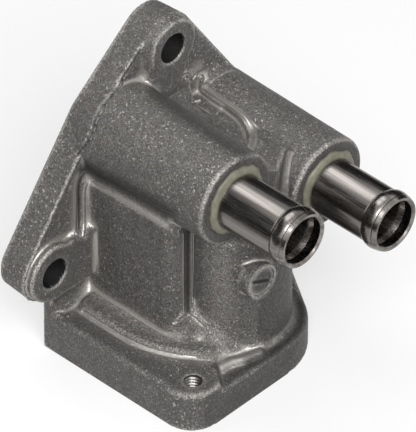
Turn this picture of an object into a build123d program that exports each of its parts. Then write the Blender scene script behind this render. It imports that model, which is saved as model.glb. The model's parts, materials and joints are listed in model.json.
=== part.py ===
"""Coolant water outlet: a cast aluminium housing with two steel hose pipes.

The housing bolts to the engine by a three-lug flange and carries a second flange
on its underside. Lengths are in millimetres.

Frame: the origin is the centre of the port in the underside, on that machined face.
+Z is up, +X is the way the two hose pipes point, +Y runs along the engine flange.
"""
from build123d import *
from math import sqrt
import os

# Engine flange: a plate square to X, with three lugs
MOUNT_X = -41.8          # machined face against the engine
FLANGE_T = 9.2           # plate thickness
FLANGE_DRAFT = 3.0       # the rim grows towards the parting line, degrees
LUG_R = 9.0              # lug radius at the machined face
PAD_R = 8.8              # spot face round each bolt hole
PAD_H = 2.5              # height of the spot faces over the plate
BOLT_R = 4.5             # clearance hole for an 8 mm bolt
LUG_LEFT = (-38.1, 29.4)     # Y, Z of the bolt holes
LUG_TOP = (7.6, 79.8)
LUG_RIGHT = (40.3, 29.4)
LEFT_ARM_UP = 7.2        # shoulder from the left spot face to the wall, over the hole
LEFT_ARM_DOWN = 9.0      # and under it
TOP_ARM_Y1 = 14.0        # arm from the upper spot face down to the pocket
TOP_ARM_FOOT = 66.5
NECK_X0 = -35.8          # thinner stretch between the left lug and the underside flange

# Underside flange
BASE_LOW_T = 9.6         # thickness under the round part
BASE_HIGH_T = 12.6       # thickness of the long ledge and its screw lug
BASE_Y0 = -37.0          # long straight side
BASE_R = 19.5            # round end, about the port
BASE_CORNER_R = 8.7
BASE_EDGE_R = 1.6        # rounded upper rim
STEP_IN = (-2.0, 11.0)   # from the front screw hole to the inner end of the step
STEP_OUT = 4.3           # and to its outer end, along Y
TAP_FRONT = (12.9, -30.0)    # X, Y of the tapped holes
TAP_BACK = (-19.6, 25.4)
TAP_LUG_R = 8.7
TAP_DRILL_R = 2.5        # 6 mm thread, tapping drill

# Raised step behind the ledge
TIER_T = 14.2
TIER_X0 = -30.8
TIER_Y0 = -29.9
TIER_STRAIGHT = 16.8     # length before it bends round the barrel
TIER_END_R = 3.0
TIER_EDGE_R = 1.1

# Body
PORT_R = 12.0            # port in the underside
PORT_ROOF = 4.0          # wall over the port
BARREL_R = 15.2          # round outer wall over the port
BARREL_TOP = 48.0
BARREL_EDGE_R = 3.0
BARREL_FOOT_R = 3.5      # fillet onto the underside flange, at most up to its rounded rim
RIM_GAP = 0.2
WALL_Y = -22.7           # flat side wall
WALL_X1 = -1.6           # where the flat wall turns into the barrel
WALL_CORNER_R = 4.0
VALLEY_FOOT_R = 7.0      # cone that closes the foot of the valley
VALLEY_TIP_R = 0.8
VALLEY_FOOT_H = 6.5
VALLEY_IN = 1.0          # its axis, out from the barrel
BACK_Y = 15.0            # far side wall

# Hose pipe bosses, lying along X
BOSS_A = (-11.0, 62.2)       # Y, Z of the axes
BOSS_B = (24.7, 46.0)
BOSS_X1 = 10.5           # end faces
BOSS_R = 13.4            # radius at the end face
BOSS_SPREAD = 0.6        # and this much more at the flange
BOSS_EDGE_R = 1.3
BOSS_HEEL_R = 11.2       # radius at the machined face, behind the bulge of the rim
FLARE_A = 1.5            # concave flare at the root of each boss
FLARE_B = 5.0

# Web between the bosses, with a cored pocket
WEB_LEAVES_A = (8.0, 4.8)    # Y, Z from the upper boss's axis, inside that boss
WEB_STEP_Y = 7.1         # bend of its upper surface
WEB_STEP_H = 2.0         # height of the bend over the line where it meets the lower boss
WEB_MEETS_B = 112.8      # angle of that line round the lower boss, from +Y
WEB_BOTTOM = 38.0
WEB_EAR_X = 8.6          # the web runs forward beside the upper boss
WEB_FRONT_X = 1.0        # and further back beside the lower one
POCKET_Z = 56.9          # flat floor
POCKET_X1 = -7.6
POCKET_Y0 = -4.0
POCKET_Y1 = 19.8
POCKET_R = 6.0
RAMP_RUN = 8.0           # concave sweep from the floor up to the arm
RAMP_R = 9.6

# Round cast pad on the barrel
KNOB_Y = -7.2
KNOB_Z = 35.2
KNOB_R = 5.2
KNOB_X1 = 17.0
KNOB_EDGE = 0.4          # chamfered rim
KNOB_RIM = 0.9
KNOB_RECESS = 0.7
KNOB_SLOT_L = 7.0
KNOB_SLOT_W = 0.8
KNOB_SLOT_ANGLE = -25.0

# Hose pipes
PIPE_R = 8.0
PIPE_WALL = 1.2
PIPE_SEAT = 12.0         # length pressed into the boss
PIPE_REACH = 24.4        # length in front of the boss
PIPE_FIT = 0.02          # radial fit of the pipe in its seat
BEAD_R = 8.65            # crest of the rolled bead
BEAD_W = 4.0             # width of the bead along the pipe
BEAD_SETBACK = 1.4       # from the bead to the mouth
BEAD_GROOVE = 0.15       # scored line each side of the bead
BEAD_HOLLOW = 0.7        # the bead seen from inside
LIP_R = 8.35
LIP_EDGE = 0.4

# Sealant ring at the root of each pipe
SEAL_W = 2.3
SEAL_H = 1.1
SEAL_CROWN = 0.8         # height at half width, as a share of the height at the pipe

# Cast fillets
WALL_FOOT_R = 1.0        # flat wall to the raised step
WALL_ROOT_R = 1.2        # flat wall to the engine flange
ARM_ROOT_R = 1.5         # flat wall to the left arm
LEDGE_ROOT_R = 1.5       # ledge to the engine flange
BOSS_SEAT_R = 1.5
PAD_EDGE = 0.5           # chamfer round each spot face
POCKET_FLOOR_R = 0.7

# Waterways behind the engine flange
CHAMBER_CENTRE = (-1.0, 38.0)    # Y, Z, runs through to the port
CHAMBER_R = 12.0
GALLERY_LIP = 1.0        # recess that joins chamber and pipe bores, wider than each by this
GALLERY_ROOF = 3.2       # plate left in front of it

FLANGE_X1 = MOUNT_X + FLANGE_T
PAD_X1 = FLANGE_X1 + PAD_H
BORE_R = PIPE_R - PIPE_WALL
DEEP = 2.0               # overlap between joined masses


def across(x, y=0.0, z=0.0):
    """Plane square to X, with its own x along Y and its own y along Z."""
    return Plane(origin=(x, y, z), x_dir=(0, 1, 0), z_dir=(1, 0, 0))


def lengthwise(y, z):
    """Upright plane through a pipe axis, with its own x along the axis."""
    return Plane(origin=(0, y, z), x_dir=(1, 0, 0), z_dir=(0, -1, 0))


def pipe_axis(centre):
    """Axis of one pipe, boss and bore."""
    return Axis((0, *centre), (1, 0, 0))


def hull_of_circles(circles):
    """Outline drawn tight round a set of circles, each (x, y, radius)."""
    with BuildSketch(Plane.XY) as outline:
        with BuildLine():
            for x, y, r in circles:
                CenterArc((x, y), r, 0, 360)
        make_hull()
    return outline.sketch


# Engine flange, with its spot faces and the arms that tie two of them to the body
rim_outline = hull_of_circles(
    ((*LUG_LEFT, LUG_R), (*LUG_TOP, LUG_R), (*LUG_RIGHT, LUG_R), (*BOSS_A, BOSS_HEEL_R))
)
left_arm_y1 = WALL_Y + DEEP
top_arm_y0 = LUG_TOP[0] - PAD_R
with BuildPart() as engine_flange:
    with BuildSketch(across(MOUNT_X)):
        add(rim_outline)
    extrude(amount=FLANGE_T, taper=-FLANGE_DRAFT)
    with BuildSketch(across(FLANGE_X1 - DEEP)):
        with Locations(LUG_LEFT, LUG_TOP, LUG_RIGHT):
            Circle(PAD_R)
        with Locations(((LUG_LEFT[0] + left_arm_y1) / 2, LUG_LEFT[1] + (LEFT_ARM_UP - LEFT_ARM_DOWN) / 2)):
            Rectangle(left_arm_y1 - LUG_LEFT[0], LEFT_ARM_UP + LEFT_ARM_DOWN)
        with Locations(((top_arm_y0 + TOP_ARM_Y1) / 2, (LUG_TOP[1] + TOP_ARM_FOOT) / 2)):
            Rectangle(TOP_ARM_Y1 - top_arm_y0, LUG_TOP[1] - TOP_ARM_FOOT)
    extrude(amount=PAD_H + DEEP)
    spot_faces = engine_flange.faces().group_by(Axis.X)[-1].sort_by(Axis.Y)
    chamfer(spot_faces[1].edges() + spot_faces[2].edges(), PAD_EDGE)
    with BuildSketch(across(NECK_X0)):
        with Locations(((BASE_Y0 + BACK_Y) / 2, LUG_LEFT[1] / 2)):
            Rectangle(BACK_Y - BASE_Y0, LUG_LEFT[1])
    extrude(amount=FLANGE_X1 - NECK_X0)

# Underside flange: a round end about the port and a straight-sided front
back_lug = hull_of_circles(((0, 0, BASE_R), (*TAP_BACK, TAP_LUG_R)))
with BuildPart() as underside_flange:
    with BuildSketch() as base_outline:
        add(back_lug)
        with Locations(((NECK_X0 + BASE_R) / 2, BASE_Y0 / 2)):
            Rectangle(BASE_R - NECK_X0, -BASE_Y0)
        fillet(base_outline.vertices().sort_by(Axis.Y)[:2].sort_by(Axis.X)[-1], BASE_CORNER_R)
    extrude(amount=BASE_LOW_T)
    fillet(underside_flange.faces().sort_by(Axis.Z)[-1].edges(), BASE_EDGE_R)

# Thicker ledge along the front, down to the step beside the screw lug
step_inner = (TAP_FRONT[0] + STEP_IN[0], TAP_FRONT[1] + STEP_IN[1])
step_outer = (BASE_R, TAP_FRONT[1] + STEP_OUT)
with BuildPart() as ledge:
    with BuildSketch():
        add(base_outline.sketch)
        with BuildLine():
            Polyline(
                (NECK_X0, BASE_Y0), (BASE_R, BASE_Y0), step_outer, step_inner,
                (NECK_X0, step_inner[1]), close=True,
            )
        make_face(mode=Mode.INTERSECT)
    extrude(amount=BASE_HIGH_T)
    fillet(ledge.faces().sort_by(Axis.Z)[-1].edges(), BASE_EDGE_R)

# Raised step behind the ledge, straight and then bending round the barrel
with BuildPart() as tier:
    with BuildSketch():
        with BuildLine():
            front = Line((TIER_X0, TIER_Y0), (TIER_X0 + TIER_STRAIGHT, TIER_Y0))
            bend = TangentArc(front @ 1, step_inner, tangent=front % 1)
            Line(bend @ 1, (0, 0))
            Line((0, 0), (TIER_X0, WALL_Y + DEEP))
            Line((TIER_X0, WALL_Y + DEEP), front @ 0)
        make_face()
    extrude(amount=TIER_T)
    fillet(tier.edges().filter_by(Axis.Z).sort_by(Axis.Y)[:2].sort_by(Axis.X)[0], TIER_END_R)
    rim = tier.faces().sort_by(Axis.Z)[-1].edges()
    fillet([rim.sort_by_distance((*point, TIER_T))[0] for point in (front @ 0.5, bend @ 0.5)], TIER_EDGE_R)

# Flat-walled body between the flanges
body_length = WALL_X1 - FLANGE_X1 + DEEP
body_mid_x = (FLANGE_X1 - DEEP + WALL_X1) / 2
with BuildPart() as box_body:
    with BuildSketch():
        with Locations((body_mid_x, (WALL_Y + BOSS_A[0]) / 2)):
            Rectangle(body_length, BOSS_A[0] - WALL_Y)
    extrude(amount=BOSS_A[1])
    fillet(box_body.edges().filter_by(Axis.Z).sort_by(Axis.Y)[:2].sort_by(Axis.X)[-1], WALL_CORNER_R)

with BuildPart() as back_body:
    with BuildSketch():
        with Locations((body_mid_x, (BACK_Y + BOSS_A[0]) / 2)):
            Rectangle(body_length, BACK_Y - BOSS_A[0])
    extrude(amount=BOSS_B[1])

# Barrel over the port
with BuildPart() as barrel:
    with BuildSketch():
        Circle(BARREL_R)
    extrude(amount=BARREL_TOP)
    fillet(barrel.edges().sort_by(Axis.Z)[-1], BARREL_EDGE_R)

# Foot of the valley between the flat wall and the barrel
with BuildPart() as valley_foot:
    with BuildSketch(Plane.XY.offset(TIER_T - DEEP)):
        with Locations((WALL_X1, -BARREL_R - VALLEY_IN)):
            Circle(VALLEY_FOOT_R)
    with BuildSketch(Plane.XY.offset(TIER_T + VALLEY_FOOT_H)):
        with Locations((WALL_X1, -BARREL_R - VALLEY_IN)):
            Circle(VALLEY_TIP_R)
    loft()


def boss(centre):
    """One hose pipe boss, tapered towards its rounded end face, with its heel."""
    with BuildPart() as made:
        with BuildSketch(lengthwise(*centre)) as section:
            with BuildLine():
                Polyline(
                    (MOUNT_X, 0), (MOUNT_X, BOSS_HEEL_R), (FLANGE_X1, BOSS_R + BOSS_SPREAD),
                    (BOSS_X1, BOSS_R), (BOSS_X1, 0), close=True,
                )
            make_face()
            fillet(section.vertices().group_by(Axis.X)[-1].sort_by(Axis.Y)[-1], BOSS_EDGE_R)
        revolve(axis=pipe_axis(centre))
    return made.part


boss_a = boss(BOSS_A)
boss_b = boss(BOSS_B)

# Web between the bosses, its section and its plan, with the boss that it runs into
meeting = Vector(BOSS_R, 0).rotate(Axis.Z, WEB_MEETS_B)
web_side = (BOSS_A[0] + WEB_LEAVES_A[0], BOSS_A[1] + WEB_LEAVES_A[1])
web_far = (BOSS_B[0] + meeting.X, BOSS_B[1] + meeting.Y)
web_step = (WEB_STEP_Y, web_far[1] + WEB_STEP_H)
with BuildPart() as web:
    with BuildSketch(across(FLANGE_X1 - DEEP)):
        with BuildLine():
            Polyline(
                BOSS_A, web_side, web_step, web_far, (web_far[0], WEB_BOTTOM), (BOSS_A[0], WEB_BOTTOM),
                close=True,
            )
        make_face()
    extrude(amount=WEB_EAR_X - FLANGE_X1 + DEEP)
    with BuildSketch(Plane.XY.offset(WEB_BOTTOM)):
        with BuildLine():
            Polyline(
                (FLANGE_X1 - DEEP, BOSS_A[0]), (WEB_EAR_X, BOSS_A[0]), (WEB_EAR_X, web_step[0]),
                (WEB_FRONT_X, web_far[0]), (FLANGE_X1 - DEEP, web_far[0]), close=True,
            )
        make_face()
    extrude(amount=web_side[1] - WEB_BOTTOM, mode=Mode.INTERSECT)
    add(boss_b)
    web_mid = (web_step[0] + web_far[0]) / 2
    web_seat = BOSS_B[1] + sqrt(BOSS_R**2 - (web_mid - BOSS_B[0])**2)
    seat_point = ((WEB_EAR_X + WEB_FRONT_X) / 2, web_mid, web_seat)
    fillet(web.edges().sort_by_distance(seat_point)[0], BOSS_SEAT_R)

# Concave sweep from the pocket floor up to the arm of the upper lug
with BuildPart() as ramp:
    with BuildSketch(Plane.XZ.offset(-TOP_ARM_Y1)):
        with BuildLine():
            floor_end = (PAD_X1 + RAMP_RUN, POCKET_Z)
            sweep_up = RadiusArc(floor_end, (PAD_X1, TOP_ARM_FOOT), RAMP_R)
            Line(sweep_up @ 1, (FLANGE_X1 - DEEP, TOP_ARM_FOOT))
            Line((FLANGE_X1 - DEEP, TOP_ARM_FOOT), (FLANGE_X1 - DEEP, POCKET_Z - DEEP))
            Line((FLANGE_X1 - DEEP, POCKET_Z - DEEP), (floor_end[0], POCKET_Z - DEEP))
            Line((floor_end[0], POCKET_Z - DEEP), floor_end)
        make_face()
    extrude(amount=TOP_ARM_Y1 - POCKET_Y0)

# Cast pad on the barrel, a rim round a sunk face with one shallow line
with BuildPart() as knob:
    with BuildSketch(across(KNOB_X1, KNOB_Y, KNOB_Z)):
        Circle(KNOB_R)
    extrude(amount=-(KNOB_X1 - PORT_R))
    chamfer(knob.edges().sort_by(Axis.X)[-1], KNOB_EDGE)
    with BuildSketch(across(KNOB_X1, KNOB_Y, KNOB_Z)):
        Circle(KNOB_R - KNOB_RIM)
    extrude(amount=-KNOB_RECESS, mode=Mode.SUBTRACT)
    with BuildSketch(across(KNOB_X1 - KNOB_RECESS, KNOB_Y, KNOB_Z)):
        with Locations(Rotation(0, 0, KNOB_SLOT_ANGLE)):
            SlotOverall(KNOB_SLOT_L, KNOB_SLOT_W)
    extrude(amount=-KNOB_RECESS, mode=Mode.SUBTRACT)


def flare(centre, radius):
    """Concave flare where a boss meets the engine flange, kept inside the flange's rim."""
    with BuildPart() as made:
        with BuildSketch(lengthwise(*centre)):
            with BuildLine():
                rise = RadiusArc((FLANGE_X1, BOSS_R + radius), (FLANGE_X1 + radius, BOSS_R), -radius)
                Polyline(
                    rise @ 1, (FLANGE_X1 + radius, BOSS_R - DEEP), (FLANGE_X1 - DEEP, BOSS_R - DEEP),
                    (FLANGE_X1 - DEEP, BOSS_R + radius), rise @ 0,
                )
            make_face()
        revolve(axis=pipe_axis(centre))
        with BuildSketch(across(FLANGE_X1 - DEEP)):
            add(rim_outline)
        extrude(amount=radius + DEEP, mode=Mode.INTERSECT)
    return made.part


flare_a = flare(BOSS_A, FLARE_A)
flare_b = flare(BOSS_B, FLARE_B)
gallery_outline = hull_of_circles(
    (
        (*CHAMBER_CENTRE, CHAMBER_R + GALLERY_LIP),
        (*BOSS_A, BORE_R + GALLERY_LIP), (*BOSS_B, BORE_R + GALLERY_LIP),
    )
)

with BuildPart() as housing:
    add(engine_flange.part)
    add(underside_flange.part)
    add(ledge.part)
    add(tier.part)
    add(box_body.part)
    add(back_body.part)
    add(barrel.part)
    add(knob.part)
    add(web.part)
    add(flare_b)
    with BuildSketch(Plane.XY.offset(POCKET_Z)):
        with Locations(((FLANGE_X1 + POCKET_X1) / 2, (POCKET_Y0 + POCKET_Y1) / 2)):
            pocket = Rectangle(POCKET_X1 - FLANGE_X1, POCKET_Y1 - POCKET_Y0)
        fillet(pocket.vertices().group_by(Axis.X)[-1], POCKET_R)
    extrude(amount=TOP_ARM_FOOT - POCKET_Z, mode=Mode.SUBTRACT)
    add(ramp.part)
    add(boss_a)
    add(flare_a)
    add(valley_foot.part)

    # Cast fillets, each found by a point on its edge
    arm_top = LUG_LEFT[1] + LEFT_ARM_UP
    boss_foot = BOSS_A[1] - BOSS_R
    wall_mid = (FLANGE_X1 + WALL_X1) / 2
    foot_room = BASE_R - BASE_EDGE_R - BARREL_R - RIM_GAP
    for radius, point in (
        (WALL_FOOT_R, (wall_mid, WALL_Y, TIER_T)),
        (LEDGE_ROOT_R, (FLANGE_X1, (BASE_Y0 + WALL_Y) / 2, BASE_HIGH_T)),
        (WALL_ROOT_R, (FLANGE_X1, WALL_Y, (arm_top + boss_foot) / 2)),
        (ARM_ROOT_R, (PAD_X1, WALL_Y, LUG_LEFT[1])),
        (min(BARREL_FOOT_R, foot_room), (BARREL_R, 0, BASE_LOW_T)),
        (POCKET_FLOOR_R, (wall_mid, POCKET_Y1, POCKET_Z)),
    ):
        fillet(housing.edges().sort_by_distance(point)[0], radius)
    chamfer(housing.edges().sort_by_distance((PAD_X1, LUG_LEFT[0] - PAD_R, LUG_LEFT[1]))[0], PAD_EDGE)

    # Port, chamber and drillings
    with BuildSketch():
        Circle(PORT_R)
    extrude(amount=BARREL_TOP - PORT_ROOF, mode=Mode.SUBTRACT)
    with BuildSketch(across(MOUNT_X)):
        with Locations(CHAMBER_CENTRE):
            Circle(CHAMBER_R)
    extrude(amount=-MOUNT_X, mode=Mode.SUBTRACT)
    with BuildSketch(across(MOUNT_X)):
        add(gallery_outline)
    extrude(amount=FLANGE_T - GALLERY_ROOF, mode=Mode.SUBTRACT)
    for centre in (BOSS_A, BOSS_B):
        with BuildSketch(lengthwise(*centre)):
            with BuildLine():
                Polyline(
                    (MOUNT_X, 0), (MOUNT_X, BORE_R), (BOSS_X1 - PIPE_SEAT, BORE_R),
                    (BOSS_X1 - PIPE_SEAT, PIPE_R + PIPE_FIT), (BOSS_X1, PIPE_R + PIPE_FIT), (BOSS_X1, 0),
                    close=True,
                )
            make_face()
        revolve(axis=pipe_axis(centre), mode=Mode.SUBTRACT)
    with BuildSketch(across(MOUNT_X)):
        with Locations(LUG_LEFT, LUG_TOP, LUG_RIGHT):
            Circle(BOLT_R)
    extrude(amount=PAD_X1 - MOUNT_X, mode=Mode.SUBTRACT)
    with BuildSketch():
        with Locations(TAP_FRONT, TAP_BACK):
            Circle(TAP_DRILL_R)
    extrude(amount=BASE_HIGH_T, mode=Mode.SUBTRACT)


def hose_pipe(centre):
    """Steel pipe with a rolled bead at its mouth."""
    tail = BOSS_X1 - PIPE_SEAT
    mouth = BOSS_X1 + PIPE_REACH
    bead_end = mouth - BEAD_SETBACK
    bead_start = bead_end - BEAD_W
    crest = (bead_start + bead_end) / 2
    with BuildPart() as made:
        with BuildSketch(lengthwise(*centre)):
            with BuildLine():
                Polyline(
                    (tail, BORE_R), (tail, PIPE_R), (bead_start - LIP_EDGE, PIPE_R),
                    (bead_start, PIPE_R - BEAD_GROOVE),
                )
                ThreePointArc(
                    (bead_start, PIPE_R - BEAD_GROOVE), (crest, BEAD_R), (bead_end, LIP_R - BEAD_GROOVE)
                )
                Polyline(
                    (bead_end, LIP_R - BEAD_GROOVE), (bead_end + LIP_EDGE, LIP_R), (mouth, LIP_R - LIP_EDGE),
                    (mouth, BORE_R + LIP_EDGE), (mouth - LIP_EDGE, BORE_R), (bead_end, BORE_R),
                    (crest, BORE_R + BEAD_HOLLOW), (bead_start, BORE_R), (tail, BORE_R),
                )
            make_face()
        revolve(axis=pipe_axis(centre))
    return made


def sealant_ring(centre):
    """Bead of sealant round the pipe where it enters the boss."""
    with BuildPart() as made:
        with BuildSketch(lengthwise(*centre)):
            with BuildLine():
                Polyline(
                    (BOSS_X1, PIPE_R), (BOSS_X1 + SEAL_H, PIPE_R),
                    (BOSS_X1 + SEAL_CROWN * SEAL_H, PIPE_R + SEAL_W / 2), (BOSS_X1, PIPE_R + SEAL_W),
                    close=True,
                )
            make_face()
        revolve(axis=pipe_axis(centre))
    return made


hose_pipe_upper = hose_pipe(BOSS_A)
hose_pipe_lower = hose_pipe(BOSS_B)
sealant_ring_upper = sealant_ring(BOSS_A)
sealant_ring_lower = sealant_ring(BOSS_B)

os.makedirs("parts", exist_ok=True)
housing.part.label = "housing"
export_step(housing.part, "parts/housing.step")
hose_pipe_upper.part.label = "hose_pipe_upper"
export_step(hose_pipe_upper.part, "parts/hose_pipe_upper.step")
hose_pipe_lower.part.label = "hose_pipe_lower"
export_step(hose_pipe_lower.part, "parts/hose_pipe_lower.step")
sealant_ring_upper.part.label = "sealant_ring_upper"
export_step(sealant_ring_upper.part, "parts/sealant_ring_upper.step")
sealant_ring_lower.part.label = "sealant_ring_lower"
export_step(sealant_ring_lower.part, "parts/sealant_ring_lower.step")
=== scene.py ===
"""Looks of a coolant water outlet: a rough aluminium casting with two steel hose pipes.

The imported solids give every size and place. Lengths in the settings are metres.
"""
import json
from math import cos, pi, radians, sin

import bmesh
import bpy
import numpy as np
from mathutils import Matrix, Vector, geometry, noise


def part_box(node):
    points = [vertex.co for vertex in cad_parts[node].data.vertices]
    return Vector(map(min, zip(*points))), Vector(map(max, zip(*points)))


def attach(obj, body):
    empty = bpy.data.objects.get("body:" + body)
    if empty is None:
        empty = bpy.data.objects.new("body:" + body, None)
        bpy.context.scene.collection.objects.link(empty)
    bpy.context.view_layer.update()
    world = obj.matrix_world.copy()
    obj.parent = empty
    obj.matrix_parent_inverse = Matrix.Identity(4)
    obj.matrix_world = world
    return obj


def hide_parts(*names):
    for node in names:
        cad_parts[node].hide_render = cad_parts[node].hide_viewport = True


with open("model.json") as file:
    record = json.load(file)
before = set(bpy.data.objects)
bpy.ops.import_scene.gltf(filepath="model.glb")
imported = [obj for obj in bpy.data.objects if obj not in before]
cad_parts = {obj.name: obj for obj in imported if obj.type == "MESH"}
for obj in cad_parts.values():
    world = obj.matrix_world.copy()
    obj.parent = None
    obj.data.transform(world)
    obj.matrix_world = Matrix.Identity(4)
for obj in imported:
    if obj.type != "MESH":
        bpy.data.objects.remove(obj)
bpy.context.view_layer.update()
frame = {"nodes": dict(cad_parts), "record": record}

bl_info = {
    "name": "Coolant water outlet",
    "version": (1, 0, 0),
    "blender": (4, 5, 0),
    "location": "3D View > Sidebar > Outlet",
    "description": "Finishes a cast coolant outlet with its hose pipes, sealant and studio",
    "category": "Object",
}

MM = 0.001
WELD = 0.0005 * MM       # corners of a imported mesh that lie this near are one
HOUSING_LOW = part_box("housing")[0]
RECORDED = {mount["name"]: mount for mount in frame["record"]["mounts"]}
MOUNTS = {name: Vector(mount["pos_m"]) for name, mount in RECORDED.items()}
PIPE_AXES = {"upper": MOUNTS["hose_end_upper"], "lower": MOUNTS["hose_end_lower"]}
LUGS = [MOUNTS["bolt_hole_" + side] for side in ("left", "top", "right")]
TAPPED = [MOUNTS["screw_hole_" + side] for side in ("front", "back")]

# Sizes of the part, in millimetres
BOLT_R = RECORDED["bolt_hole_left"]["dims"]["r_mm"]
TAP_R = RECORDED["screw_hole_front"]["dims"]["r_mm"]
PIPE_R = 8.0
SEAL_WIDTH = 2.3         # how far the bead of sealant reaches out from the pipe

# Places on the casting, in millimetres
FLANGE_FRONT = -32.6     # front face of the engine flange
LUG_FACE = -30.1         # spot faces round its bolts
LEDGE_TOP = 12.6         # top of the ledge before the flat wall
LOW_TOP = 9.6            # top of the thinner, round part of the underside flange
TAP_TOPS = (LEDGE_TOP, LOW_TOP)  # mouths of the front and the back screw hole
TIER_SIDE = -29.9        # upright side of the raised step
TIER_LIP_OUT = 1.3       # fine line that runs outside its foot
HEEL_R = 11.7            # bulge of the flange rim behind the upper boss
RIM_STEPS = 64           # points round each circle of the rim

# Marks are laid along paths as they are seen from the front left, so a path may lie a little off the skin
SIGHT = Vector((0.527, -0.554, 0.645)).normalized()
ACROSS = SIGHT.cross((0, 0, -1)).normalized()
SEEN = np.array((ACROSS, SIGHT.cross(ACROSS)))
SEEN_DEPTH = 4.0         # how far a path may lie from the skin it marks

# Lines on the casting that more than one mark follows
TIER_FOOT = [
    (-29.0, TIER_SIDE, LEDGE_TOP), (-13.0, TIER_SIDE, LEDGE_TOP), (-8.0, -29.4, LEDGE_TOP),
    (-3.0, -28.0, LEDGE_TOP), (2.0, -25.8, LEDGE_TOP), (6.5, -22.9, LEDGE_TOP), (10.4, -19.6, LEDGE_TOP),
]
TIER_LIP = [(x, y - TIER_LIP_OUT, z) for x, y, z in TIER_FOOT]
UNDER_BOSS = [(-32.4, -23.3, 53.6), (-24.0, -22.8, 54.0), (-10.0, -22.8, 54.4), (-3.2, -22.5, 54.0)]
BOSS_SHADE = [(-32.4, -23.6, 55.8), (-23.1, -24.0, 57.5), (-8.2, -24.3, 59.1), (-1.0, -24.2, 59.1)]
WALL_LIP = [(-32.4, -23.3, 52.1), (-24.5, -22.7, 52.2), (-9.7, -22.7, 52.4), (-4.4, -22.5, 52.3)]
ROOT_LINE = [(-31.6, -24.0, 38.0), (-31.6, -24.0, 47.0), (-31.8, -24.0, 54.0)]
ROOT_LIP = [
    (-32.6, -26.1, 55.6), (-32.6, -27.7, 52.9), (-32.6, -28.1, 45.9), (-32.6, -28.7, 38.6),
    (-32.2, -29.0, 36.6),
]
ROOT_JOINT = [(-32.6, -24.3, 54.7), (-32.6, -26.2, 52.0), (-32.6, -26.3, 44.8), (-32.2, -26.8, 36.6)]
ROOT_INNER = [
    (-32.4, -23.3, 51.7), (-32.6, -24.6, 48.9), (-32.6, -24.7, 43.8), (-31.4, -26.0, 38.0),
    (-30.5, -27.4, 36.2),
]
MOON = [
    (-2.4, -21.0, 18.0), (-2.0, -20.5, 19.2), (-1.7, -19.4, 20.0), (-1.6, -17.7, 19.9), (-0.9, -17.1, 20.2),
    (-0.1, -16.4, 19.7), (0.7, -15.3, 18.4), (2.0, -15.1, 17.7), (3.2, -14.8, 16.9),
]
STRIP = [(-1.6, -16.8, 48.0), (-1.6, -16.8, 34.0), (-1.3, -17.1, 20.5)]
STRIP_LIPS = (
    [(-1.6, -18.7, 48.0), (-1.6, -18.7, 32.1), (-1.6, -18.5, 20.8)],
    [(-0.9, -15.1, 46.6), (-1.1, -15.2, 30.2), (-0.9, -15.6, 23.0)],
)
LOW_STEP = [(12.6, -18.8, 10.0), (13.0, -15.8, 9.8), (14.5, -12.4, 9.8), (15.8, -7.2, 9.6)]
OLD_STEP = [(9.8, -17.1, 12.6), (9.9, -12.4, 11.0), (11.9, -9.6, 11.3), (14.2, -5.5, 11.8)]
POCKET_EDGE = [
    (-30.4, 19.8, 58.6), (-25.5, 19.8, 58.2), (-17.2, 19.6, 57.7), (-14.2, 19.2, 57.0),
    (-10.1, 17.0, 57.2), (-4.8, 11.7, 59.7), (-3.3, 9.0, 60.0),
]
POCKET_GROOVE = [(-22.0, 19.0, 57.0), (-17.4, 18.2, 57.0), (-13.3, 16.4, 57.0), (-6.7, 10.8, 59.8)]
FOOT_RIDGE = [(1.6, -15.5, 17.2), (5.2, -14.3, 15.0), (8.2, -14.0, 13.2), (10.2, -12.6, 10.6)]
EAR_EDGE = [(10.5, -0.3, 68.4), (6.7, 6.0, 61.1), (8.5, 7.2, 59.6), (8.6, 6.4, 57.1), (8.6, 5.6, 54.4)]
PARTING = [
    (-32.7, -2.5, 83.9), (-32.6, -6.4, 80.7), (-32.6, -9.3, 78.5), (-32.4, -9.7, 76.3),
    (-31.7, -14.0, 75.8), (-31.4, -18.1, 74.2), (-31.0, -21.1, 71.9), (-30.4, -23.1, 69.2),
    (-31.3, -24.6, 65.3), (-33.2, -25.8, 61.8),
]
HEEL_CREASE = [(-37.2, -14.0, 74.5), (-35.0, -13.0, 75.5)]
FLARE_TAIL = [(-36.6, -23.5, 64.7), (-32.5, -25.0, 62.4)]
LEDGE_ROOT = [(-32.6, -35.5, 14.1), (-32.5, -29.0, 13.6), (-32.4, -23.4, 13.3)]
# Side of the upper boss away from the light, darkened as painted shade
BOSS_SIDE_SHADE = [
    (-25.0, -5.2, 74.8), (-16.4, -6.1, 75.0), (-6.7, -6.7, 75.1), (2.5, -6.9, 75.0), (9.7, -6.4, 74.7),
]
STEP_SHEEN = [(-32.6, -22.8, 13.9), (-20.5, -23.7, 14.2), (-9.6, -23.5, 14.2), (-1.0, -22.0, 14.2)]
BARREL_SHEEN = [(7.3, -13.3, 44.5), (7.3, -13.3, 34.0), (7.0, -13.5, 23.5), (6.0, -13.9, 14.4)]
LOW_SHADE = [(16.6, -12.0, LOW_TOP), (18.0, -3.0, LOW_TOP), (16.0, 8.0, LOW_TOP), (10.0, 15.0, LOW_TOP)]
RIGHT_FLASH = [(-30.1, 12.8, 68.4), (-32.0, 17.0, 64.0), (-32.1, 19.9, 61.4)]
KNOB = (17.0, -7.2, 35.2)
KNOB_RIM_R = 4.7
KNOB_RIM = [
    (KNOB[0], KNOB[1] + KNOB_RIM_R * cos(turn), KNOB[2] + KNOB_RIM_R * sin(turn))
    for turn in np.linspace(0.0, 2 * pi, 25)
]
KNOB_SLOT = [(16.3, -10.2, 36.6), (16.3, -4.2, 33.8)]
WEB_TOP = [(-7.6, 19.3, 58.5), (2.0, 19.7, 58.6)]
WEB_END = [(3.2, 17.6, 57.9), (5.0, 14.5, 55.6), (6.4, 12.3, 52.6), (7.0, 11.2, 50.2)]
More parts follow.
